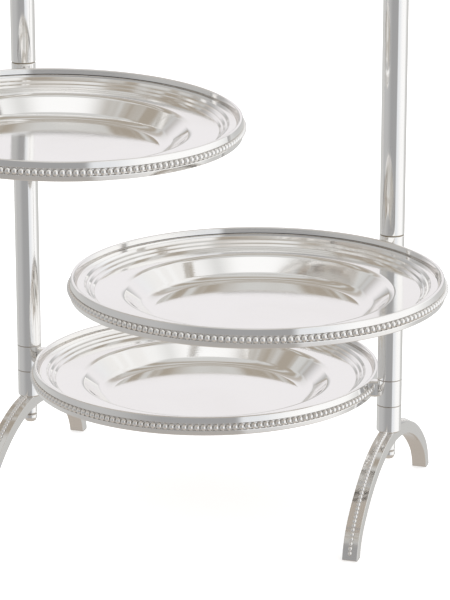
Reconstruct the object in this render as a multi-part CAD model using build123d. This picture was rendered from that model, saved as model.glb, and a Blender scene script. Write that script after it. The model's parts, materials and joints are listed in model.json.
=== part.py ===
from build123d import *

import os
from math import acos, asin, cos, radians, sin

# A folding cake stand of plated metal, in millimetres, +Z up. The origin is on the table, midway between
# the two post axes, which lie on X. The front of the stand faces -Y.
# Three beaded rings each carry a lift-out dish. The bottom ring is clamped to both posts, the middle
# one swings on the right post and the top one on the left post.

# Rings
bead_tip_radius = 116.0
bead_radius = 2.0
bead_proud = 2.6
ring_wall = 2.0
lip_flare = 0.1
upper_band_flare = 0.9
lower_band_flare = 1.0
ring_foot_flare = 0.5
lip_height = 6.4
ring_foot_depth = 5.5
channel_half_height = 2.1
ring_edge_radius = 0.7
ledge_thickness = 1.4

# Dishes
dish_thickness = 1.2
dish_rim_gap = 1.9
dish_rim_width = 2.9
dish_rim_drop = 4.0
dish_seat_overlap = 2.3
dish_seat_gap = 0.05
brim_drop = 9.5
moulding_width = 7.3
moulding_steps = 3
step_tread_slope = 0.25
brim_width = 17.5
well_wall_width = 13.5
well_depth = 12.7
well_floor_blend = 13.0
well_edge_blend = 6.0
moulding_blend = 0.4

# Posts, from the table up
post_radius = 8.0
tube_wall = 1.0
edge_break = 0.3
collar_height = 17.5
collar_drop = 1.2
bottom_tier_height = 83.5
tier_pitch = 96.5
post_top = 345.0
bush_engagement = 9.0
bush_clearance = 0.05
washer_thickness = 0.5
washer_width = 0.55
washer_gap = 0.05
rod_radius = 2.5
rod_clearance = 0.25
thread_clearance = 0.05
plug_height = 10.0
plug_gap = 3.0
sleeve_base = 2.5
handle_leg = 12.0
handle_spigot_reach = 10.0

# Swing of the two upper rings from folded, when they lie between the posts, to how they are stored here
swing_clearance = 1.0
middle_swing_angle = 63.4
top_swing_angle = 59.0

# How far the top ring hangs out of level on its collar, in degrees: at its free end, and to one side
top_ring_droop = 2.3
top_ring_lean = 1.0

# Lugs that join the rings to their collars
lug_width = 8.0
lug_height = 11.0

# Feet
foot_width = 9.7
foot_thickness = 8.0
foot_crown_height = 56.0
foot_crown_radius = 122.7
foot_shoulder_reach = 84.0
foot_tip_radius = 40.0
foot_edge_radius = 0.8
foot_heel_radius = 3.0
foot_seat_depth = 0.5
foot_boss_radius = 4.2
foot_boss_height = 2.0
nut_pad_radius = 4.6
nut_pad_height = 1.0

# Cap nuts under the feet
nut_radius = 4.5
nut_body_height = 4.2
nut_neck_radius = 3.7
nut_neck_height = 1.0
nut_dome_height = 5.5
nut_wall_below_rod = 3.0

# How far every cut runs past the face it opens
overcut = 1.0

# Worked out from the sizes above
ring_radius = bead_tip_radius - bead_proud
bead_line_radius = bead_tip_radius - bead_radius
ring_inner_radius = ring_radius - ring_wall
dish_radius = ring_inner_radius - dish_rim_gap
dish_rim_top = lip_height - dish_rim_drop
ledge_top = dish_rim_top - dish_thickness - dish_seat_gap
ledge_radius = dish_radius - dish_seat_overlap
brim_height = lip_height - brim_drop
moulding_radius = dish_radius - dish_rim_width
brim_radius = moulding_radius - moulding_width
well_radius = brim_radius - brim_width
floor_radius = well_radius - well_wall_width
floor_height = brim_height - well_depth

ring_offset = bead_tip_radius + swing_clearance + post_radius
post_x = ring_offset
tube_bore = post_radius - tube_wall
bush_radius = tube_bore - bush_clearance
rod_hole_radius = rod_radius + rod_clearance
swivel_gap = washer_thickness + 2 * washer_gap
tier_heights = {
    "bottom": bottom_tier_height,
    "middle": bottom_tier_height + tier_pitch,
    "top": bottom_tier_height + 2 * tier_pitch,
}
foot_seat_height = foot_crown_height - foot_seat_depth
nut_seat_height = foot_crown_height - foot_thickness - nut_pad_height


def collar_bottom(tier):
    return tier_heights[tier] - collar_drop - collar_height / 2


def collar_top(tier):
    return tier_heights[tier] - collar_drop + collar_height / 2


def rod(radius, low, high, x=0.0, y=0.0):
    return Pos(x, y, low) * Cylinder(radius, high - low, align=(Align.CENTER, Align.CENTER, Align.MIN))


def tube(outer, inner, low, high):
    return rod(outer, low, high) - rod(inner, low - overcut, high + overcut)


def broken_edges(solid, radius):
    """The solid with its round edges of this radius chamfered, which leaves a fine line at each joint."""
    rounds = solid.edges().filter_by(GeomType.CIRCLE)
    rims = [edge for edge in rounds if abs(edge.radius - radius) < edge_break / 2]
    return chamfer(rims, edge_break)


def post_tube(low, high):
    return broken_edges(tube(post_radius, tube_bore, low, high), post_radius)


def ring_section():
    """Half section of a ring: flared lip, bead channel, lower band and the inner ledge under the dish."""
    ledge_bottom = ledge_top - ledge_thickness
    outline = Polyline(
        (ring_inner_radius, lip_height),
        (ring_radius + lip_flare, lip_height),
        (ring_radius + upper_band_flare, channel_half_height),
        (ring_radius, channel_half_height),
        (ring_radius, -channel_half_height),
        (ring_radius + lower_band_flare, -channel_half_height),
        (ring_radius + ring_foot_flare, -ring_foot_depth),
        (ring_inner_radius, -ring_foot_depth),
        (ring_inner_radius, ledge_bottom),
        (ledge_radius, ledge_bottom),
        (ledge_radius, ledge_top),
        (ring_inner_radius, ledge_top),
        close=True,
    )
    face = make_face(outline)
    ends = [v for v in face.vertices() if v.Y > lip_height - edge_break or v.Y < edge_break - ring_foot_depth]
    return fillet(ends, ring_edge_radius)


def revolved(face):
    return revolve(Plane.XZ * face, Axis.Z)


def ring():
    return revolved(ring_section())


def bead_border():
    """The soldered bead wire, as one round wire as thick as its beads."""
    return revolved(Pos(bead_line_radius, 0) * Circle(bead_radius))


def dish_profile():
    """The dish's upper surface from its centre to its rim, with stepped mouldings outside the flat brim."""
    rise = (dish_rim_top - brim_height) / moulding_steps
    tread = moulding_width / moulding_steps
    points = [(0, floor_height), (floor_radius, floor_height)]
    points += [(well_radius, brim_height), (brim_radius, brim_height)]
    radii = [well_floor_blend, well_edge_blend, moulding_blend]
    for step in range(moulding_steps):
        riser_foot = brim_radius + step * tread
        top = brim_height + (step + 1) * rise
        last = step == moulding_steps - 1
        points.append((riser_foot + tread / 2, top if last else top - rise * step_tread_slope))
        radii.append(moulding_blend)
        if not last:
            points.append((riser_foot + tread, top))
            radii.append(moulding_blend)
    points.append((dish_radius, dish_rim_top))
    return FilletPolyline(*points, radius=radii)


def dish():
    upper = dish_profile()
    lower = Pos(0, -dish_thickness) * upper
    ends = [Line(upper @ 0, lower @ 0), Line(upper @ 1, lower @ 1)]
    return revolved(make_face([*upper.edges(), *lower.edges(), *ends]))


def collar(hung_ring):
    """A collar at +X of this ring, with the lug between them, its height taken from the bead line."""
    centre = -collar_drop
    low, high = centre - collar_height / 2, centre + collar_height / 2
    barrel = rod(post_radius, low, high, x=ring_offset)
    lug_length = ring_offset - ring_radius + ring_wall / 2
    lug = Pos(ring_offset - lug_length / 2, 0, 0) * Box(lug_length, lug_width, lug_height)
    bore = rod(tube_bore, low - overcut, high + overcut, x=ring_offset)
    solid = barrel + lug - bore - hung_ring
    kept = max(solid.solids(), key=lambda piece: piece.volume)
    return broken_edges(kept, post_radius)


def foot_curve(inset):
    """Points of one leg's face, from the crown to the table: a wide crown arc, then a tighter tip arc."""
    shoulder = asin(foot_shoulder_reach / foot_crown_radius)
    crown_centre = foot_crown_height - foot_crown_radius
    tip_y = foot_shoulder_reach - foot_tip_radius * sin(shoulder)
    tip_z = crown_centre + (foot_crown_radius - foot_tip_radius) * cos(shoulder)
    crown, tip = foot_crown_radius - inset, foot_tip_radius - inset
    end = acos(-tip_z / tip)

    def on_crown(angle):
        return (crown * sin(angle), crown_centre + crown * cos(angle))

    def on_tip(angle):
        return (tip_y + tip * sin(angle), tip_z + tip * cos(angle))

    middle_of_tip = (shoulder + end) / 2
    return [on_crown(0), on_crown(shoulder / 2), on_crown(shoulder), on_tip(middle_of_tip), on_tip(end)]


def leg():
    """One leg of a foot, in +Y, as an extruded curved bar with eased edges."""
    outer, inner = foot_curve(0), foot_curve(foot_thickness)
    arcs = [ThreePointArc(*curve[i : i + 3]) for curve in (outer, inner) for i in (0, 2)]
    ends = [Line(outer[0], inner[0]), Line(outer[-1], inner[-1])]
    side = make_face([*arcs, *ends])
    heel = max(side.vertices(), key=lambda corner: corner.X - corner.Y)
    side = fillet(heel, foot_heel_radius)
    return extrude(Plane.YZ * side, foot_width / 2, both=True)


def foot():
    """The arched foot casting, with its boss for the sleeve above and its pad for the nut below."""
    bar = leg() + Rot(0, 0, 180) * leg()
    sides = [edge for edge in bar.edges() if edge.geom_type == GeomType.CIRCLE]
    bar = fillet(sides, foot_edge_radius)
    bar -= rod(post_radius, foot_seat_height, foot_crown_height + overcut)
    bar += rod(foot_boss_radius, foot_seat_height, foot_seat_height + foot_boss_height)
    bar += rod(nut_pad_radius, nut_seat_height, nut_seat_height + foot_thickness / 2)
    return bar - rod(rod_hole_radius, 0, foot_crown_height + foot_boss_height)


def foot_sleeve():
    """The cup between the foot and the bottom collar."""
    high = collar_bottom("bottom")
    cup = rod(post_radius, foot_seat_height, high)
    cup -= rod(tube_bore, foot_seat_height + sleeve_base, high + overcut)
    cup -= rod(foot_boss_radius + bush_clearance, foot_seat_height - overcut, high)
    return broken_edges(cup, post_radius)


def cap_nut():
    """A knobbed cap nut that pulls the tie rod down under the foot."""
    neck_top = nut_seat_height - nut_body_height
    dome_top = neck_top - nut_neck_height
    body = rod(nut_radius, neck_top, nut_seat_height) + rod(nut_neck_radius, dome_top, neck_top)
    dome = scale(Sphere(1), (nut_radius, nut_radius, nut_dome_height))
    dome = Pos(0, 0, dome_top) * split(dome, Plane.XY, keep=Keep.BOTTOM)
    bore_low = dome_top - nut_dome_height + nut_wall_below_rod
    return body + dome - rod(rod_radius + thread_clearance, bore_low, nut_seat_height + overcut)


def rod_low():
    dome_bottom = nut_seat_height - nut_body_height - nut_neck_height - nut_dome_height
    return dome_bottom + nut_wall_below_rod + 2 * thread_clearance


def upper_tube_low(tier):
    return collar_top(tier) + swivel_gap


def plug_low(tier):
    return upper_tube_low(tier) + bush_engagement + plug_gap


def bush(tier, joint_gap):
    """The turned bush that a collar sits on, reaching into the tubes above and below it."""
    low = collar_bottom(tier) - joint_gap - bush_engagement
    high = collar_top(tier) + joint_gap + bush_engagement
    return tube(bush_radius, rod_hole_radius, low, high)


def swivel_washers(tier):
    """Two thin friction washers, above and below a collar that swings."""
    outer = tube_bore + washer_width
    above = collar_top(tier) + washer_gap
    below = collar_bottom(tier) - washer_gap - washer_thickness
    return [tube(outer, tube_bore, low, low + washer_thickness) for low in (above, below)]


def post(swinging_tier):
    """Every fixed piece of one post on the Z axis, named without its side."""
    tube_top = collar_bottom(swinging_tier) - swivel_gap
    plug = plug_low(swinging_tier)
    return {
        "foot": foot(),
        "cap_nut": cap_nut(),
        "tie_rod": rod(rod_radius, rod_low(), plug + plug_height),
        "foot_sleeve": foot_sleeve(),
        "bottom_bush": bush("bottom", 0),
        "lower_tube": post_tube(collar_top("bottom"), tube_top),
        "pivot_bush": bush(swinging_tier, swivel_gap),
        "swivel_washers": swivel_washers(swinging_tier),
        "upper_tube": post_tube(upper_tube_low(swinging_tier), post_top),
        "rod_plug": tube(tube_bore, rod_radius + thread_clearance, plug, plug + plug_height),
        "handle_spigot": rod(bush_radius, post_top - handle_spigot_reach, post_top + handle_spigot_reach),
    }


def handle_arch():
    """The handle tube that joins the posts: a half-round bend with a short straight leg each end."""
    section = Circle(post_radius) - Circle(tube_bore)
    spring = post_top + handle_leg
    path = Wire(
        [
            Line((-post_x, 0, post_top), (-post_x, 0, spring)),
            ThreePointArc((-post_x, 0, spring), (0, 0, spring + post_x), (post_x, 0, spring)),
            Line((post_x, 0, spring), (post_x, 0, post_top)),
        ]
    )
    tube_bend = sweep(Plane((-post_x, 0, post_top), z_dir=(0, 0, 1)) * section, path)
    return broken_edges(tube_bend, post_radius)


def hang(shape, droop, lean):
    """Tilts a ring, or what goes with it, about the point of its collar at +X. The collar stays upright."""
    return Pos(ring_offset, 0, 0) * Rot(lean, -droop, 0) * Pos(-ring_offset, 0, 0) * shape


def tier(name, centre, turn, collars, droop=0.0, lean=0.0):
    """A ring with its bead border and dish, and evenly spaced collars with the first at this turn from +X."""
    hung_ring = hang(ring(), droop, lean)
    border = hang(bead_border() - ring(), droop, lean)
    pieces = {f"{name}_ring": hung_ring, f"{name}_dish": hang(dish(), droop, lean)}
    sides = ["right_", "left_"] if collars > 1 else [""]
    for index, side in enumerate(sides):
        piece = Rot(0, 0, index * 360 / collars) * collar(hung_ring)
        border -= piece
        pieces[f"{side}{name}_collar"] = piece
    pieces[f"{name}_bead_border"] = border
    place = Pos(centre[0], centre[1], tier_heights[name]) * Rot(0, 0, turn)
    return {node: place * piece for node, piece in pieces.items()}


def swung_centre(side, angle):
    """Centre of a ring on the post at this side (+1 right, -1 left), swung forward from folded."""
    return (side * (post_x - ring_offset * cos(radians(angle))), -ring_offset * sin(radians(angle)))


def model():
    middle_centre = swung_centre(1, middle_swing_angle)
    top_centre = swung_centre(-1, top_swing_angle)
    nodes = tier("bottom", (0, 0), 0, 2)
    nodes |= tier("middle", middle_centre, middle_swing_angle, 1)
    nodes |= tier("top", top_centre, 180 - top_swing_angle, 1, top_ring_droop, top_ring_lean)
    for side, x, swinging_tier in (("right", post_x, "middle"), ("left", -post_x, "top")):
        for piece_name, piece in post(swinging_tier).items():
            solids = piece if isinstance(piece, list) else [piece]
            nodes[f"{side}_{piece_name}"] = Compound([Pos(x, 0, 0) * solid for solid in solids])
    nodes["handle_arch"] = handle_arch()
    return nodes


os.makedirs("parts", exist_ok=True)
for node, shape in model().items():
    export_step(shape, f"parts/{node}.step")
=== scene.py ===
import json
from math import acos, asin, cos, pi, radians, sin

import bpy
from mathutils import Matrix, Vector


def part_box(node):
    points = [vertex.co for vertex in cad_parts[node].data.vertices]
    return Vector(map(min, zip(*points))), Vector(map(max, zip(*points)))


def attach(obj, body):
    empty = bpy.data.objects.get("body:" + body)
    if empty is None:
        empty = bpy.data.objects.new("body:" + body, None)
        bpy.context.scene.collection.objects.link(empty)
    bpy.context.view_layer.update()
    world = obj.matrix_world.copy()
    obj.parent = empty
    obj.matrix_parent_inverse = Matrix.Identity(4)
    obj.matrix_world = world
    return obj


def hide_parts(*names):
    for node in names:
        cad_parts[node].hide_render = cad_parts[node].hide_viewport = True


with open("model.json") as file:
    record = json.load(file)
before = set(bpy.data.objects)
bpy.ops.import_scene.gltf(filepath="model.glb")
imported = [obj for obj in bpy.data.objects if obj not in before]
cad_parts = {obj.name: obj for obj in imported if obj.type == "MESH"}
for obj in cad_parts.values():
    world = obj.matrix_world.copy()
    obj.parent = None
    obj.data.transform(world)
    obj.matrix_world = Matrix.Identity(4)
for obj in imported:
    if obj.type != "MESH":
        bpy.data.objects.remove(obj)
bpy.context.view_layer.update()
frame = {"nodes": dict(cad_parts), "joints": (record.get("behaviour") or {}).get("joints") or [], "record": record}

MM = 0.001


# ---------------------------------------------------------------------------------------------------------
# Studio: a wide white table, a soft white room that the silver sees as grey, taupe and pale patches, and
# the camera to the right of the stand's front, looking a little down at it.
# ---------------------------------------------------------------------------------------------------------
CAMERA_TURN, CAMERA_DROP = radians(17.46), radians(16.39)


def set_camera():
    data = bpy.data.cameras.new("camera")
    data.sensor_width = 36.0
    data.lens = 170.2
    data.clip_start, data.clip_end = 0.05, 60.0
    camera = bpy.data.objects.new("camera", data)
    bpy.context.scene.collection.objects.link(camera)
    camera.location = (0.5482, -1.7009, 0.6584)
    camera.rotation_euler = (pi / 2 - CAMERA_DROP, 0, CAMERA_TURN)
    bpy.context.scene.camera = camera


def white_table():
    bpy.ops.object.select_all(action="DESELECT")
    bpy.ops.mesh.primitive_circle_add(vertices=96, radius=6.0, fill_type="NGON", location=(0, 0, -0.0002))
    table = bpy.context.object
    table.name = "table"
    table.visible_glossy = False
    material = bpy.data.materials.new("white_table")
    material.use_nodes = True
    shader = material.node_tree.nodes["Principled BSDF"]
    shader.inputs["Base Color"].default_value = (0.9, 0.9, 0.9, 1)
    shader.inputs["Roughness"].default_value = 0.9
    shader.inputs["Emission Color"].default_value = (1, 1, 1, 1)
    shader.inputs["Emission Strength"].default_value = 0.55
    table.data.materials.append(material)


def node(tree, kind, **inputs):
    """A shader node with the values or links given for its sockets, named with _ for a space."""
    made = tree.nodes.new(kind)
    for name, value in inputs.items():
        connect(tree, made, name.replace("_", " "), value)
    return made


def connect(tree, target, socket, value):
    """Links a socket to this input, or sets the input to this value."""
    if isinstance(value, bpy.types.NodeSocket):
        tree.links.new(value, target.inputs[socket])
    else:
        target.inputs[socket].default_value = value


def reckon(tree, operation, *values):
    """A Math node of this operation on the values or sockets given, and its result."""
    made = tree.nodes.new("ShaderNodeMath")
    made.operation = operation
    for index, value in enumerate(values):
        connect(tree, made, index, value)
    return made.outputs[0]


def mix_colours(tree, factor, first, second):
    made = tree.nodes.new("ShaderNodeMix")
    made.data_type = "RGBA"
    connect(tree, made, 0, factor)
    connect(tree, made, 6, first)
    connect(tree, made, 7, second)
    return made.outputs[2]


def ramp(tree, value, *stops):
    """A colour ramp with these (position, brightness) stops."""
    made = tree.nodes.new("ShaderNodeValToRGB")
    made.color_ramp.interpolation = "EASE"
    while len(made.color_ramp.elements) < len(stops):
        made.color_ramp.elements.new(0.5)
    for element, (position, shade) in zip(made.color_ramp.elements, stops):
        element.position = position
        element.color = (shade, shade, shade, 1)
    connect(tree, made, 0, value)
    return made.outputs[0]


def studio_room():
    """The room as the silver sees it. The camera itself sees plain white."""
    world = bpy.data.worlds.new("room")
    bpy.context.scene.world = world
    world.use_nodes = True
    tree = world.node_tree
    tree.nodes.clear()
    direction = node(tree, "ShaderNodeTexCoord").outputs["Generated"]
    x, y, z = node(tree, "ShaderNodeSeparateXYZ", Vector=direction).outputs

    # Across and along say how far a direction lies to the camera's right and beyond the stand, from -1 to
    # 1. Rightward and height run from 0 to 1, as a ramp needs.
    turn_cos, turn_sin = cos(CAMERA_TURN), sin(CAMERA_TURN)
    across = reckon(tree, "MULTIPLY_ADD", y, turn_sin, reckon(tree, "MULTIPLY", x, turn_cos))
    along = reckon(tree, "MULTIPLY_ADD", y, turn_cos, reckon(tree, "MULTIPLY", x, -turn_sin))
    rightward = reckon(tree, "MULTIPLY_ADD", across, 0.5, 0.5)
    height = reckon(tree, "MULTIPLY_ADD", z, 0.5, 0.5)
    right = ramp(tree, rightward, (0.66, 0), (0.71, 1))
    far_right = ramp(tree, rightward, (0.75, 0), (0.97, 1))
    far_left = ramp(tree, reckon(tree, "MULTIPLY_ADD", across, -0.5, 0.5), (0.72, 0), (1.0, 1))
    beyond = ramp(tree, reckon(tree, "MULTIPLY_ADD", along, 0.5, 0.5), (0.78, 0), (0.93, 1))
    raised = ramp(tree, height, (0.67, 0), (0.8, 1))
    overhead = ramp(tree, height, (0.93, 0), (0.985, 1))
    toward = ramp(tree, reckon(tree, "MULTIPLY_ADD", along, -0.5, 0.5), (0.52, 0), (0.6, 1))
    below = ramp(tree, height, (0.1, 1), (0.32, 0))
    low_down, ahead = ramp(tree, height, (0.4, 1), (0.48, 0)), ramp(tree, along, (0.1, 0), (0.5, 1))
    table_beyond = reckon(tree, "MULTIPLY", low_down, ahead)

    grey, soft_grey, white = (0.36, 0.36, 0.365, 1), (0.5, 0.5, 0.5, 1), (1, 1, 1, 1)
    blush, taupe, pale = (0.87, 0.85, 0.865, 1), (0.4, 0.355, 0.3, 1), (0.64, 0.64, 0.63, 1)
    mist, table_shade, table_light = (0.8, 0.82, 0.85, 1), (0.5, 0.455, 0.41, 1), (0.6, 0.6, 0.59, 1)
    low = mix_colours(tree, far_left, grey, soft_grey)
    low = mix_colours(tree, right, low, mix_colours(tree, far_right, mist, white))
    horizon = ramp(tree, height, (0.55, 0), (0.63, 1))
    low = mix_colours(tree, beyond, low, mix_colours(tree, horizon, soft_grey, blush))
    low = mix_colours(tree, table_beyond, low, table_light)
    stretched = node(tree, "ShaderNodeMapping", Vector=direction, Scale=(1.2, 1.2, 8.0))
    streaks = node(tree, "ShaderNodeTexNoise", Vector=stretched.outputs[0], Scale=1.5, Detail=2.0)
    streaked = ramp(tree, streaks.outputs[0], (0.4, 0), (0.6, 1))
    high = mix_colours(tree, streaked, taupe, pale)
    high = mix_colours(tree, reckon(tree, "MULTIPLY", right, 0.8), high, white)
    top = mix_colours(tree, toward, pale, white)
    room = mix_colours(tree, raised, low, high)
    room = mix_colours(tree, overhead, room, top)
    room = mix_colours(tree, below, room, table_shade)

    seen = node(tree, "ShaderNodeLightPath")
    lit = node(tree, "ShaderNodeBackground", Color=room, Strength=1.0)
    plain = node(tree, "ShaderNodeBackground", Color=white, Strength=1.0)
    plainly_seen = reckon(tree, "MAXIMUM", seen.outputs["Is Camera Ray"], seen.outputs["Is Diffuse Ray"])
    choice = node(tree, "ShaderNodeMixShader")
    connect(tree, choice, 0, plainly_seen)
    connect(tree, choice, 1, lit.outputs[0])
    connect(tree, choice, 2, plain.outputs[0])
    node(tree, "ShaderNodeOutputWorld", Surface=choice.outputs[0])


set_camera()
white_table()
studio_room()
bpy.context.scene.view_settings.view_transform = "Standard"


# ---------------------------------------------------------------------------------------------------------
# Dishes: spun from sheet and silver plated. A flat mirror floor, a rolled well, a flat brim, and three
# stepped mouldings up to the rim, which rests on the ledge of its ring.
# ---------------------------------------------------------------------------------------------------------
BODY_OF_TIER = {"bottom": "stand", "middle": "middle_tier", "top": "top_tier"}


def post_x(side):
    """Where the axis of this side's post crosses X."""
    low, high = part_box(f"{side}_foot_sleeve")
    return (low.x + high.x) / 2


def tier_place(tier):
    """A tier's own frame: at the ring's centre, level with the beads, X to its collar and Z square to it."""
    floor = next(mount for mount in frame["record"]["mounts"] if mount["name"] == f"{tier}_dish_floor")
    up = Vector(floor["axis"]).normalized()
    centre = Vector(floor["pos_m"]) + up * (15.8 * MM)
    hinges = [joint for joint in frame["joints"] if joint["name"] == f"{tier}_swing"]
    collar_point = Vector(hinges[0]["pos_m"]) if hinges else Vector((post_x("right"), 0, centre.z))
    to_collar = (collar_point - centre).normalized()
    sideways = up.cross(to_collar).normalized()
    columns = Matrix((to_collar, sideways, to_collar.cross(sideways))).transposed()
    return Matrix.Translation(centre) @ columns.to_4x4()


def put_in_place(piece, place):
    """Moves a piece made round the origin to where it belongs, and leaves its object untransformed."""
    if bpy.context.object and bpy.context.object.mode == "EDIT":
        bpy.ops.object.mode_set(mode="OBJECT")
    bpy.ops.object.select_all(action="DESELECT")
    piece.select_set(True)
    bpy.context.view_layer.objects.active = piece
    piece.matrix_world = place
    bpy.ops.object.transform_apply(location=True, rotation=True, scale=True)


def select_where(piece, kept, kind="vertices"):
    """Selects the piece's vertices, edges or faces that pass the test, and nothing else."""
    bpy.ops.object.mode_set(mode="EDIT")
    bpy.ops.mesh.select_mode(type={"vertices": "VERT", "edges": "EDGE", "polygons": "FACE"}[kind])
    bpy.ops.mesh.select_all(action="DESELECT")
    bpy.ops.object.mode_set(mode="OBJECT")
    for element in getattr(piece.data, kind):
        element.select = kept(element)
    bpy.ops.object.mode_set(mode="EDIT")


def start_piece(name, first_point):
    """A new piece in edit mode that is one selected vertex at this point."""
    if bpy.context.object and bpy.context.object.mode == "EDIT":
        bpy.ops.object.mode_set(mode="OBJECT")
    bpy.ops.object.select_all(action="DESELECT")
    bpy.ops.mesh.primitive_plane_add(size=MM, location=(0, 0, 0))
    piece = bpy.context.object
    piece.name = name
    piece.data.name = name
    bpy.ops.object.mode_set(mode="EDIT")
    bpy.ops.mesh.select_mode(type="VERT")
    bpy.ops.mesh.select_all(action="SELECT")
    bpy.ops.mesh.merge(type="CENTER")
    bpy.ops.transform.translate(value=first_point)
    return piece


def draw_outline(piece, corners, easings, closed):
    """Extrudes the one vertex of a new piece along these corners and rounds each by its easing radius."""
    for before, after in zip(corners, corners[1:]):
        bpy.ops.mesh.extrude_vertices_move(TRANSFORM_OT_translate={"value": after - before})
    if closed:
        ends = (corners[0], corners[-1])
        select_where(piece, lambda v: min((v.co - end).length for end in ends) < 1e-7)
        bpy.ops.mesh.edge_face_add()
    for index, (corner, easing) in enumerate(zip(corners, easings)):
        if easing == 0:
            continue
        to_last = (corners[index - 1] - corner).normalized()
        to_next = (corners[(index + 1) % len(corners)] - corner).normalized()
        half_turn = (pi - to_last.angle(to_next)) / 2
        select_where(piece, lambda v: (v.co - corner).length < 1e-7)
        bpy.ops.mesh.bevel(offset=easing * sin(half_turn) / cos(half_turn), segments=8, affect="VERTICES")
    bpy.ops.mesh.select_all(action="SELECT")


def swing(angle, steps, centre, axis, copies=False):
    """Sweeps the selection about an axis, or copies it along. A positive angle turns right-handed."""
    bpy.ops.mesh.spin(steps=steps, angle=angle, center=centre, axis=-Vector(axis), dupli=copies)


def turned(name, outline, closed=True, steps=256):
    """A piece turned about the upright axis through the origin, from corners of (radius, height, easing)."""
    corners = [Vector((radius, 0, height)) * MM for radius, height, easing in outline]
    piece = start_piece(name, corners[0])
    draw_outline(piece, corners, [easing * MM for radius, height, easing in outline], closed)
    swing(2 * pi, steps, (0, 0, 0), (0, 0, 1))
    close_up(piece)
    return piece


def close_up(piece):
    """Joins what touches, turns every face outward and leaves edit mode."""
    bpy.ops.mesh.select_all(action="SELECT")
    bpy.ops.mesh.remove_doubles(threshold=1e-6)
    bpy.ops.mesh.normals_make_consistent(inside=False)
    bpy.ops.object.mode_set(mode="OBJECT")


def apply_modifier(piece, kind, **settings):
    bpy.context.view_layer.objects.active = piece
    modifier = piece.modifiers.new(kind.lower(), kind)
    for name, value in settings.items():
        setattr(modifier, name, value)
    bpy.ops.object.modifier_apply(modifier=modifier.name)


def smooth(piece, angle=35):
    """Smooth shading that keeps flats flat and leaves edges sharper than this angle crisp."""
    bpy.ops.object.select_all(action="DESELECT")
    piece.select_set(True)
    bpy.context.view_layer.objects.active = piece
    bpy.ops.object.shade_smooth_by_angle(angle=radians(angle))
    apply_modifier(piece, "WEIGHTED_NORMAL", keep_sharp=True)


def belongs(piece, body, cad_node, material):
    """Ties a finished piece to its CAD body, CAD node and material slot."""
    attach(piece, body)
    if cad_node:
        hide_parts(cad_node)
    piece.data.materials.append(material)


def new_group(name, *outputs):
    """An empty node group with these (name, socket type) outputs, and its output node."""
    group = bpy.data.node_groups.new(name, "ShaderNodeTree")
    for output, kind in outputs:
        group.interface.new_socket(output, in_out="OUTPUT", socket_type=kind)
    return group, group.nodes.new("NodeGroupOutput")


def add_input(group, name, kind):
    group.interface.new_socket(name, in_out="INPUT", socket_type=kind)


def polish_group():
    """Polished silver plate: faint haze and wipe marks in the roughness, and the waviness of hand polish."""
    looks = {"Colour": "NodeSocketColor", "Roughness": "NodeSocketFloat", "Normal": "NodeSocketVector"}
    group, out = new_group("polish", *looks.items())
    add_input(group, "Point", "NodeSocketVector")
    add_input(group, "Wear", "NodeSocketFloat")
    add_input(group, "Waviness", "NodeSocketFloat")
    given = group.nodes.new("NodeGroupInput").outputs
    haze = node(group, "ShaderNodeTexNoise", Vector=given["Point"], Scale=55.0, Detail=4.0, Roughness=0.6)
    smears = node(group, "ShaderNodeTexNoise", Vector=given["Point"], Scale=9.0, Detail=3.0, Distortion=0.8)
    hazy = ramp(group, haze.outputs[0], (0.4, 0), (0.75, 1))
    smeared = ramp(group, smears.outputs[0], (0.45, 0), (0.7, 1))
    rough = reckon(group, "MULTIPLY_ADD", hazy, 0.025, 0.06)
    rough = reckon(group, "MULTIPLY_ADD", smeared, 0.025, rough)
    rough = reckon(group, "MULTIPLY_ADD", given["Wear"], 0.22, rough)
    # The brown mixed in by the wear input is mostly painted shade in joints, gaps, grooves and corners, and partly
    # duller metal where a foot meets the table.
    clean, dull, shade_and_tarnish = (0.97, 0.962, 0.95, 1), (0.93, 0.915, 0.895, 1), (0.36, 0.31, 0.25, 1)
    colour = mix_colours(group, reckon(group, "MULTIPLY", smeared, 0.5), clean, dull)
    colour = mix_colours(group, given["Wear"], colour, shade_and_tarnish)
    swell = node(group, "ShaderNodeTexNoise", Vector=given["Point"], Scale=14.0, Detail=1.0)
    bump = node(group, "ShaderNodeBump", Height=swell.outputs[0], Strength=given["Waviness"], Distance=0.0012)
    connect(group, out, "Colour", colour)
    connect(group, out, "Roughness", rough)
    connect(group, out, "Normal", bump.outputs[0])
    return group


def lathe_group():
    """Fine rings left by the spinning lathe, as a bump on top of a given normal."""
    group, out = new_group("lathe_lines", ("Normal", "NodeSocketVector"))
    add_input(group, "Radius", "NodeSocketFloat")
    add_input(group, "Normal", "NodeSocketVector")
    given = group.nodes.new("NodeGroupInput").outputs
    along = node(group, "ShaderNodeCombineXYZ", X=given["Radius"])
    lines = node(group, "ShaderNodeTexNoise", Vector=along.outputs[0], Scale=1900.0, Detail=3.0)
    bump = node(group, "ShaderNodeBump", Height=lines.outputs[0], Strength=0.05, Distance=0.0002)
    connect(group, bump, "Normal", given["Normal"])
    connect(group, out, "Normal", bump.outputs[0])
    return group


POLISH, LATHE = polish_group(), lathe_group()


def new_silver(name):
    """A metal material, its node tree and its shader, still to be given colour, roughness and normal."""
    material = bpy.data.materials.new(name)
    material.use_nodes = True
    tree = material.node_tree
    shader = tree.nodes["Principled BSDF"]
    shader.inputs["Metallic"].default_value = 1.0
    return material, tree, shader


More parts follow.
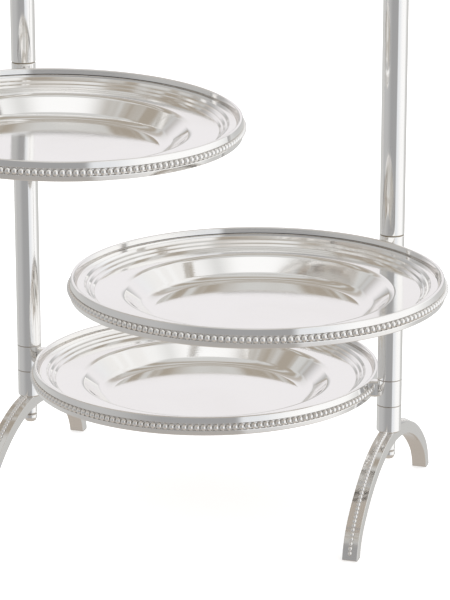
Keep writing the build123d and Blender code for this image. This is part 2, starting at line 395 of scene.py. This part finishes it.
def tier_point(tree, tier):
    """Where a shaded point lies in its tier's own frame, with its distance from the centre and its angle."""
    place = tier_place(tier)
    given = node(tree, "ShaderNodeTexCoord").outputs["Object"]
    mapping = node(tree, "ShaderNodeMapping", Vector=given)
    mapping.vector_type = "TEXTURE"
    mapping.inputs["Location"].default_value = place.translation
    mapping.inputs["Rotation"].default_value = place.to_euler()
    x, y, z = node(tree, "ShaderNodeSeparateXYZ", Vector=mapping.outputs[0]).outputs
    radius = reckon(tree, "SQRT", reckon(tree, "MULTIPLY_ADD", x, x, reckon(tree, "MULTIPLY", y, y)))
    return mapping.outputs[0], radius, z, reckon(tree, "ARCTAN2", y, x)


def near(tree, value, target, width):
    """1 where the value is at the target, falling to 0 at this distance from it."""
    away = reckon(tree, "ABSOLUTE", reckon(tree, "SUBTRACT", value, target))
    made = node(tree, "ShaderNodeMapRange")
    made.interpolation_type = "SMOOTHSTEP"
    connect(tree, made, 0, away)
    for socket, amount in ((1, 0.0), (2, width), (3, 1.0), (4, 0.0)):
        connect(tree, made, socket, amount)
    return made.outputs[0]


def finish_silver(tree, shader, point, wear_and_shade, waviness, radius=None):
    """Wires polish, and lathe lines too where a radius is given, into a silver's shader."""
    polish = tree.nodes.new("ShaderNodeGroup")
    polish.node_tree = POLISH
    connect(tree, polish, "Point", point)
    connect(tree, polish, "Wear", wear_and_shade)
    connect(tree, polish, "Waviness", waviness)
    connect(tree, shader, "Base Color", polish.outputs["Colour"])
    connect(tree, shader, "Roughness", polish.outputs["Roughness"])
    normal = polish.outputs["Normal"]
    if radius is not None:
        lathe = tree.nodes.new("ShaderNodeGroup")
        lathe.node_tree = LATHE
        connect(tree, lathe, "Radius", radius)
        connect(tree, lathe, "Normal", normal)
        normal = lathe.outputs["Normal"]
    connect(tree, shader, "Normal", normal)


def dish_silver(tier):
    """Mirror plate with lathe rings, and painted shade darkening the corners of the mouldings."""
    material, tree, shader = new_silver(f"{tier}_dish_silver")
    point, radius, _, _ = tier_point(tree, tier)
    wear_and_shade = 0.0
    for corner in (99.3, 101.7, 104.2):
        corner_shade = near(tree, radius, corner * MM, 0.5 * MM)
        wear_and_shade = reckon(tree, "MAXIMUM", wear_and_shade, reckon(tree, "MULTIPLY", corner_shade, 0.2))
    finish_silver(tree, shader, point, wear_and_shade, 0.10, radius)
    return material


def stepped_rim(brim_radius, brim_height, rim_height):
    """Corners of the three mouldings, from the brim up to the rim."""
    steps, width, slope, easing = 3, 7.3, 0.25, 0.4
    rise, tread = (rim_height - brim_height) / steps, width / steps
    corners = []
    for step in range(steps):
        top = brim_height + (step + 1) * rise
        last = step == steps - 1
        corners.append((brim_radius + (step + 0.5) * tread, top if last else top - slope * rise, easing))
        if not last:
            corners.append((brim_radius + (step + 1) * tread, top, easing))
    return corners


def dish(tier):
    brim_radius, brim_height, rim_radius, rim_height = 99.3, -3.1, 109.5, 2.4
    outline = [(0, -15.8, 0), (68.3, -15.8, 13), (81.8, brim_height, 6), (brim_radius, brim_height, 0.4)]
    outline += stepped_rim(brim_radius, brim_height, rim_height)
    outline += [(rim_radius, rim_height, 0)]
    piece = turned(f"{tier}_dish_sheet", outline, closed=False)
    apply_modifier(piece, "SOLIDIFY", thickness=1.2 * MM, offset=-1, use_even_offset=True)
    put_in_place(piece, tier_place(tier))
    smooth(piece)
    belongs(piece, f"{tier}_dish", f"{tier}_dish", dish_silver(tier))


for tier in BODY_OF_TIER:
    dish(tier)


# ---------------------------------------------------------------------------------------------------------
# Rings: one rolled and plated section bent to a hoop. A flared lip over a bead channel, a lower band, and
# a ledge inside that the dish stands on.
# ---------------------------------------------------------------------------------------------------------
def ring_silver(tier):
    """Polished plate, with painted shade darkening the bead channel and down the inside above the ledge."""
    material, tree, shader = new_silver(f"{tier}_ring_silver")
    point, radius, height, _ = tier_point(tree, tier)
    wear_and_shade = 0.0
    for middle_height, reach_up, middle_radius, reach_out, amount in (
        (0.0, 2.7, 113.1, 0.8, 0.3),
        (0.7, 1.3, 110.5, 1.4, 0.8),
    ):
        in_band = near(tree, height, middle_height * MM, reach_up * MM)
        in_wall = near(tree, radius, middle_radius * MM, reach_out * MM)
        shade_patch = reckon(tree, "MULTIPLY", reckon(tree, "MULTIPLY", in_band, in_wall), amount)
        wear_and_shade = reckon(tree, "MAXIMUM", wear_and_shade, shade_patch)
    finish_silver(tree, shader, point, wear_and_shade, 0.16)
    return material


def ring(tier):
    outline = [
        (111.4, 6.4, 0.8),
        (113.5, 6.4, 0.8),
        (114.3, 2.1, 0.5),
        (113.4, 2.1, 0.3),
        (113.4, -2.1, 0.3),
        (114.4, -2.1, 0.5),
        (113.9, -5.5, 0.6),
        (111.4, -5.5, 0.6),
        (111.4, -0.25, 0.3),
        (107.2, -0.25, 0.3),
        (107.2, 1.15, 0.3),
        (111.4, 1.15, 0.3),
    ]
    piece = turned(f"{tier}_ring_hoop", outline)
    put_in_place(piece, tier_place(tier))
    smooth(piece)
    belongs(piece, BODY_OF_TIER[tier], f"{tier}_ring", ring_silver(tier))


for tier in BODY_OF_TIER:
    ring(tier)


# ---------------------------------------------------------------------------------------------------------
# Bead borders: pearls struck from wire and soldered into each ring's channel, two degrees apart, with a gap
# in the row where a collar's lug comes through.
# ---------------------------------------------------------------------------------------------------------
BEADS_ALL_ROUND = 180


def bead(name, size, location):
    """One pearl of this size, in edit mode and selected."""
    if bpy.context.object and bpy.context.object.mode == "EDIT":
        bpy.ops.object.mode_set(mode="OBJECT")
    bpy.ops.object.select_all(action="DESELECT")
    bpy.ops.mesh.primitive_uv_sphere_add(segments=12, ring_count=8, radius=0.5 * MM, location=(0, 0, 0))
    piece = bpy.context.object
    piece.name = name
    piece.data.name = name
    bpy.ops.object.mode_set(mode="EDIT")
    bpy.ops.mesh.select_all(action="SELECT")
    bpy.ops.transform.resize(value=size)
    bpy.ops.transform.translate(value=Vector(location) * MM)
    return piece


def copies_from(first, span, count, centre, axis):
    """Turns the one bead to the start of its row, then copies it along until the row has this many more."""
    swing(first, 1, centre, axis, copies=True)
    bpy.ops.mesh.select_all(action="INVERT")
    bpy.ops.mesh.delete(type="VERT")
    bpy.ops.mesh.select_all(action="SELECT")
    swing(span, count, centre, axis, copies=True)


def finish_beads(piece, place):
    bpy.ops.object.mode_set(mode="OBJECT")
    put_in_place(piece, place)
    bpy.ops.object.shade_smooth()


def bead_silver(tier):
    """Bright on the crown of each pearl, with brown painted shade packed between them and behind them."""
    material, tree, shader = new_silver(f"{tier}_bead_silver")
    point, radius, _, angle = tier_point(tree, tier)
    beads_along = reckon(tree, "MULTIPLY_ADD", angle, BEADS_ALL_ROUND / (2 * pi), BEADS_ALL_ROUND / 2)
    along = reckon(tree, "FRACT", beads_along)
    between = reckon(tree, "MAXIMUM", near(tree, along, 0.0, 0.14), near(tree, along, 1.0, 0.14))
    behind = near(tree, radius, 113.0 * MM, 1.6 * MM)
    wear_and_shade = reckon(tree, "MULTIPLY", reckon(tree, "MAXIMUM", between, behind), 0.6)
    finish_silver(tree, shader, point, wear_and_shade, 0.0)
    return material


def bead_border(tier):
    collars = 2 if tier == "bottom" else 1
    beads_left_out, size, line_radius = 2, (4.0, 3.8, 4.1), 114.0
    pitch = 2 * pi / BEADS_ALL_ROUND
    steps = BEADS_ALL_ROUND // collars - beads_left_out - 1
    material = bead_silver(tier)
    for row in range(collars):
        name = f"{tier}_bead_row" if row == 0 else f"{tier}_bead_row_{row + 1}"
        piece = bead(name, size, (line_radius, 0, 0))
        first = row * 2 * pi / collars + (beads_left_out / 2 + 0.5) * pitch
        copies_from(first, steps * pitch, steps, (0, 0, 0), (0, 0, 1))
        finish_beads(piece, tier_place(tier))
        belongs(piece, BODY_OF_TIER[tier], f"{tier}_bead_border", material)


for tier in BODY_OF_TIER:
    bead_border(tier)


# ---------------------------------------------------------------------------------------------------------
# Posts: plated tube cut to length, with a fine chamfer at each joint that shows as a line. The collars
# are the same tube, 17.5 mm tall, each with a small lug soldered to its ring.
# ---------------------------------------------------------------------------------------------------------
POST_LENGTHS = ("foot_sleeve", "lower_tube", "upper_tube")


def post_point(tree, side):
    """Where a shaded point lies from the foot of this side's post, and its X and Z there."""
    given = node(tree, "ShaderNodeTexCoord").outputs["Object"]
    mapping = node(tree, "ShaderNodeMapping", Vector=given, Location=(-post_x(side), 0, 0))
    along = node(tree, "ShaderNodeSeparateXYZ", Vector=mapping.outputs[0]).outputs
    return mapping.outputs[0], along["X"], along["Z"]


def reach_up(cad_node):
    """The heights, in millimetres, that a CAD node runs between."""
    low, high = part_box(cad_node)
    return low.z / MM, high.z / MM


def put_on_post(piece, side):
    put_in_place(piece, Matrix.Translation((post_x(side), 0, 0)))


def post_silver(side):
    """Polished tube with painted shade darkening every joint line."""
    material, tree, shader = new_silver(f"{side}_post_silver")
    point, _, z = post_point(tree, side)
    wear_and_shade = 0.0
    for height in [edge for part in POST_LENGTHS for edge in reach_up(f"{side}_{part}")]:
        wear_and_shade = reckon(tree, "MAXIMUM", wear_and_shade, near(tree, z, height * MM, 0.6 * MM))
    finish_silver(tree, shader, point, reckon(tree, "MULTIPLY", wear_and_shade, 0.7), 0.12)
    return material


def tube_outline(low, high):
    """Corners of a length of tube whose ends are cut back a little, so that each joint shows as a line."""
    radius, wall, line = 8.0, 1.0, 0.28
    bore = radius - wall
    outline = [(bore, low, 0), (radius - line, low, 0), (radius, low + line, 0.15)]
    return outline + [(radius, high - line, 0.15), (radius - line, high, 0), (bore, high, 0)]


def post_length(cad_node, side, material):
    low, high = reach_up(cad_node)
    outline = tube_outline(low, high)
    if cad_node.endswith("sleeve"):
        base, hole, bore, ease = 2.5, 2.75, 7.0, 0.8
        outline[:3] = [(bore, low + base, 0), (hole, low + base, 0), (hole, low, 0)]
        outline[3:3] = [(8.0 - ease, low, 0), (8.0, low + ease, ease)]
    piece = turned(f"{cad_node}_shell", outline, steps=128)
    put_on_post(piece, side)
    smooth(piece)
    belongs(piece, "stand", cad_node, material)


def collar(cad_node, side, tier, material):
    """The collar's barrel, and its lug as an eased block that runs from the barrel into the ring's wall."""
    barrel = turned(f"{cad_node}_barrel", tube_outline(*reach_up(cad_node)), steps=128)
    put_on_post(barrel, side)
    smooth(barrel)
    belongs(barrel, BODY_OF_TIER[tier], cad_node, material)

    inner, outer, width, height, easing = 112.6, 118.0, 7.8, 10.8, 1.8
    middle = (inner + outer) / 2 * MM * (-1 if cad_node.startswith("left") else 1)
    bpy.ops.object.select_all(action="DESELECT")
    bpy.ops.mesh.primitive_cube_add(size=MM, location=(0, 0, 0))
    lug = bpy.context.object
    lug.name = f"{cad_node}_lug"
    lug.scale = (outer - inner, width, height)
    bpy.ops.object.transform_apply(location=True, rotation=True, scale=True)
    apply_modifier(lug, "BEVEL", width=easing * MM, segments=6)
    put_in_place(lug, tier_place(tier) @ Matrix.Translation((middle, 0, 0)))
    smooth(lug)
    belongs(lug, BODY_OF_TIER[tier], cad_node, material)


for side, swinging_tier in (("left", "top"), ("right", "middle")):
    material = post_silver(side)
    for part in POST_LENGTHS:
        post_length(f"{side}_{part}", side, material)
    collar(f"{side}_bottom_collar", side, "bottom", material)
    collar(f"{swinging_tier}_collar", side, swinging_tier, material)


# ---------------------------------------------------------------------------------------------------------
# Handle: one length of the same 16 mm plated tube, bent to a half round with a short straight leg at each
# end, and pushed over a spigot in the top of each post.
# ---------------------------------------------------------------------------------------------------------
def handle_silver():
    """Polished tube with painted shade darkening the two joints with the posts."""
    material, tree, shader = new_silver("handle_silver")
    point = node(tree, "ShaderNodeTexCoord").outputs["Object"]
    height = node(tree, "ShaderNodeSeparateXYZ", Vector=point).outputs["Z"]
    wear_and_shade = reckon(tree, "MULTIPLY", near(tree, height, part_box("handle_arch")[0].z, 0.7 * MM), 0.9)
    finish_silver(tree, shader, point, wear_and_shade, 0.16)
    return material


def handle():
    low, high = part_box("handle_arch")
    radius, line, arch_steps = 8.0 * MM, 0.28 * MM, 160
    spring = high.z - (high.x - low.x) / 2
    bpy.ops.object.select_all(action="DESELECT")
    bpy.ops.mesh.primitive_circle_add(vertices=96, radius=radius - line, fill_type="NGON", location=(0, 0, 0))
    piece = bpy.context.object
    piece.name = "handle_tube"
    wider = radius / (radius - line)
    bpy.ops.object.mode_set(mode="EDIT")
    bpy.ops.mesh.select_all(action="SELECT")
    bpy.ops.transform.translate(value=(post_x("right"), 0, low.z))
    bpy.ops.mesh.extrude_region_move(TRANSFORM_OT_translate={"value": (0, 0, line)})
    bpy.ops.transform.resize(value=(wider, wider, 1), center_override=(post_x("right"), 0, low.z))
    bpy.ops.mesh.extrude_region_move(TRANSFORM_OT_translate={"value": (0, 0, spring - low.z - line)})
    swing(-pi, arch_steps, (0, 0, spring), (0, 1, 0))
    bpy.ops.mesh.extrude_region_move(TRANSFORM_OT_translate={"value": (0, 0, low.z + line - spring)})
    bpy.ops.mesh.extrude_region_move(TRANSFORM_OT_translate={"value": (0, 0, -line)})
    bpy.ops.transform.resize(value=(1 / wider, 1 / wider, 1), center_override=(post_x("left"), 0, low.z))
    close_up(piece)
    smooth(piece)
    belongs(piece, "stand", "handle_arch", handle_silver())


handle()


# ---------------------------------------------------------------------------------------------------------
# Feet: arched castings 9.7 mm wide and 8 mm thick. A wide crown arc runs into a tighter tip arc, which is
# cut flat at the table. A row of pearls at 3 mm pitch runs down the middle of each leg.
# ---------------------------------------------------------------------------------------------------------
CROWN_HEIGHT, CROWN_RADIUS, TIP_RADIUS, SHOULDER_REACH, FOOT_THICKNESS = 56.0, 122.7, 40.0, 84.0, 8.0
SHOULDER = asin(SHOULDER_REACH / CROWN_RADIUS)
CROWN_CENTRE = Vector((0, 0, CROWN_HEIGHT - CROWN_RADIUS))
TIP_CENTRE = CROWN_CENTRE + (CROWN_RADIUS - TIP_RADIUS) * Vector((0, -sin(SHOULDER), cos(SHOULDER)))


def cast_silver(side):
    """Plate over a cleaned-up casting: wavier and a little duller, most of all where it meets the table."""
    material, tree, shader = new_silver(f"{side}_cast_silver")
    point, _, z = post_point(tree, side)
    at_table = reckon(tree, "MULTIPLY_ADD", near(tree, z, 0.0, 1.2 * MM), 0.5, 0.12)
    finish_silver(tree, shader, point, at_table, 0.3)
    return material


def leg_outline():
    """Side view of one leg, crown to table: corners along its outer face and back along its inner face."""
    corners = []
    for inset, backwards in ((0, False), (FOOT_THICKNESS, True)):
        crown, tip = CROWN_RADIUS - inset, TIP_RADIUS - inset
        end = acos(-TIP_CENTRE.z / tip)
        face = [CROWN_CENTRE + crown * Vector((0, -sin(a), cos(a))) for a in spread(0, SHOULDER, 28)]
        face += [TIP_CENTRE + tip * Vector((0, -sin(a), cos(a))) for a in spread(SHOULDER, end, 28)[1:]]
        corners += reversed(face) if backwards else face
    return [corner * MM for corner in corners]


def spread(first, last, steps):
    return [first + (last - first) * step / steps for step in range(steps + 1)]


def foot(side):
    width, edge, toe = 9.7 * MM, 0.9 * MM, 2.2 * MM
    corners = leg_outline()
    piece = start_piece(f"{side}_foot_casting", corners[0])
    toe_corners = [corner for corner in corners if abs(corner.z) < 1e-6]
    draw_outline(piece, corners, [toe if corner in toe_corners else 0 for corner in corners], closed=True)
    bpy.ops.mesh.select_all(action="SELECT")
    bpy.ops.mesh.edge_face_add()
    bpy.ops.transform.translate(value=(-width / 2, 0, 0))
    bpy.ops.mesh.extrude_region_move(TRANSFORM_OT_translate={"value": (width, 0, 0)})
    bpy.ops.mesh.select_all(action="SELECT")
    bpy.ops.mesh.normals_make_consistent(inside=False)
    select_where(piece, lambda face: abs(face.center.y) < 1e-7, "polygons")
    bpy.ops.mesh.delete(type="FACE")
    bpy.ops.object.mode_set(mode="OBJECT")
    apply_modifier(piece, "MIRROR", use_axis=(False, True, False), merge_threshold=1e-6)
    apply_modifier(piece, "BEVEL", width=edge, segments=5, limit_method="ANGLE", angle_limit=radians(60))
    put_on_post(piece, side)
    smooth(piece, 50)
    belongs(piece, "stand", f"{side}_foot", cast_silver(side))


def nut_pad(side, material):
    """The turned pad under the crown of a foot, which its cap nut tightens against."""
    hole, radius, low, high = 2.8, 4.6, 47.0, 50.0
    outline = [(hole, low, 0), (radius, low, 0.3), (radius, high, 0), (hole, high, 0)]
    piece = turned(f"{side}_nut_pad", outline, steps=64)
    put_on_post(piece, side)
    smooth(piece)
    belongs(piece, "stand", f"{side}_foot", material)


def foot_bead_silver(side):
    """The pearls of the feet: bright down the middle of the row, with painted shade darkening its two edges."""
    material, tree, shader = new_silver(f"{side}_foot_bead_silver")
    point, x, _ = post_point(tree, side)
    edge = near(tree, reckon(tree, "ABSOLUTE", x), 1.5 * MM, 0.5 * MM)
    finish_silver(tree, shader, point, reckon(tree, "MULTIPLY", edge, 0.6), 0.0)
    return material


def foot_beads(side):
    """Two rows down each leg: one round the crown arc, from clear of the sleeve, and one on round the tip."""
    size, pitch, proud, clear_of_sleeve, clear_of_toe = (2.9, 2.9, 2.7), 3.0, 0.25, 8.9, 2.6
    crown_line, tip_line = CROWN_RADIUS + proud, TIP_RADIUS + proud
    first = clear_of_sleeve / crown_line
    crown_steps = int((SHOULDER - first) * crown_line / pitch)
    tip_end = acos(-TIP_CENTRE.z / TIP_RADIUS) - clear_of_toe / TIP_RADIUS
    tip_first = SHOULDER + (clear_of_sleeve + (crown_steps + 1) * pitch - SHOULDER * crown_line) / tip_line
    tip_steps = int((tip_end - tip_first) * tip_line / pitch)
    material = foot_bead_silver(side)
    rows = (
        ("crown", CROWN_CENTRE, crown_line, first, crown_steps),
        ("tip", TIP_CENTRE, tip_line, tip_first, tip_steps),
    )
    for part, centre, line, start, steps in rows:
        piece = bead(f"{side}_foot_{part}_beads", size, centre + Vector((0, 0, line)))
        copies_from(start, steps * pitch / line, steps, centre * MM, (1, 0, 0))
        bpy.ops.object.mode_set(mode="OBJECT")
        apply_modifier(piece, "MIRROR", use_axis=(False, True, False), use_mirror_merge=False)
        finish_beads(piece, Matrix.Translation((post_x(side), 0, 0)))
        belongs(piece, "stand", None, material)


for side in ("left", "right"):
    foot(side)
    nut_pad(side, bpy.data.materials[f"{side}_cast_silver"])
    foot_beads(side)


# ---------------------------------------------------------------------------------------------------------
# Cap nuts: plated knobs turned from bar, screwed on the lower ends of the tie rods to clamp each post
# together under its foot. From the top: a 9 mm drum, a neck, and a rounded end.
# ---------------------------------------------------------------------------------------------------------
def nut_silver(side):
    """Polished plate with painted shade darkening the neck, 6 mm up."""
    material, tree, shader = new_silver(f"{side}_nut_silver")
    point, _, z = post_point(tree, side)
    neck = reach_up(f"{side}_cap_nut")[0] + 6.0
    finish_silver(tree, shader, point, near(tree, z, neck * MM, 0.7 * MM), 0.1)
    return material


def cap_nut(side):
    low, high = reach_up(f"{side}_cap_nut")
    outline = [
        (0, low, 0),
        (3.4, low + 0.5, 1.6),
        (4.5, low + 3.2, 1.8),
        (4.5, low + 5.3, 0.3),
        (3.7, low + 5.6, 0.1),
        (3.7, low + 6.4, 0.1),
        (4.5, low + 6.7, 0.3),
        (4.5, high, 0.3),
        (2.6, high, 0),
        (2.6, low + 3.2, 0),
        (0, low + 3.2, 0),
    ]
    piece = turned(f"{side}_cap_nut_knob", outline, steps=64)
    put_on_post(piece, side)
    smooth(piece)
    belongs(piece, "stand", f"{side}_cap_nut", nut_silver(side))


for side in ("left", "right"):
    cap_nut(side)


# ---------------------------------------------------------------------------------------------------------
# Hidden hardware, kept as the CAD has it: turned brass bushes and washers, bright steel rods and plugs,
# and the plated spigots inside the ends of the handle.
# ---------------------------------------------------------------------------------------------------------
def turned_metal(name, colour, dark, roughness):
    """A turned metal whose fine grooves run round the part, from a noise stretched flat."""
    material = bpy.data.materials.new(name)
    material.use_nodes = True
    tree = material.node_tree
    shader = tree.nodes["Principled BSDF"]
    shader.inputs["Metallic"].default_value = 1.0
    given = node(tree, "ShaderNodeTexCoord").outputs["Object"]
    flat = node(tree, "ShaderNodeMapping", Vector=given, Scale=(20.0, 20.0, 4000.0))
    grooves = node(tree, "ShaderNodeTexNoise", Vector=flat.outputs[0], Scale=1.0, Detail=2.0)
    stains = node(tree, "ShaderNodeTexNoise", Vector=given, Scale=120.0, Detail=3.0)
    stained = ramp(tree, stains.outputs[0], (0.5, 0), (0.75, 1))
    stain = reckon(tree, "MULTIPLY", stained, 0.6)
    connect(tree, shader, "Base Color", mix_colours(tree, stain, colour, dark))
    connect(tree, shader, "Roughness", reckon(tree, "MULTIPLY_ADD", stained, 0.15, roughness))
    bump = node(tree, "ShaderNodeBump", Height=grooves.outputs[0], Strength=0.2, Distance=0.0002)
    connect(tree, shader, "Normal", bump.outputs[0])
    return material


METALS = {
    "brass": turned_metal("turned_brass", (0.72, 0.56, 0.3, 1), (0.42, 0.29, 0.14, 1), 0.22),
    # The washers are oxidised brass, darkened further so that they also stand as painted shade in the gaps at the
    # swivels.
    "dark": turned_metal("oxidised_brass", (0.34, 0.28, 0.19, 1), (0.2, 0.16, 0.1, 1), 0.4),
    "steel": turned_metal("bright_steel", (0.62, 0.62, 0.63, 1), (0.38, 0.37, 0.36, 1), 0.28),
    "silver": turned_metal("plated_spigot", (0.91, 0.9, 0.88, 1), (0.6, 0.56, 0.5, 1), 0.15),
}
SLOT_OF_NODE = {part["node"]: part["material_slot"] for part in frame["record"]["subparts"]}
for name, cad_object in frame["nodes"].items():
    if any(word in name for word in ("tie_rod", "bush", "plug", "spigot", "washers")):
        for material_slot in cad_object.material_slots:
            material_slot.material = METALS["dark" if "washers" in name else SLOT_OF_NODE[name]]
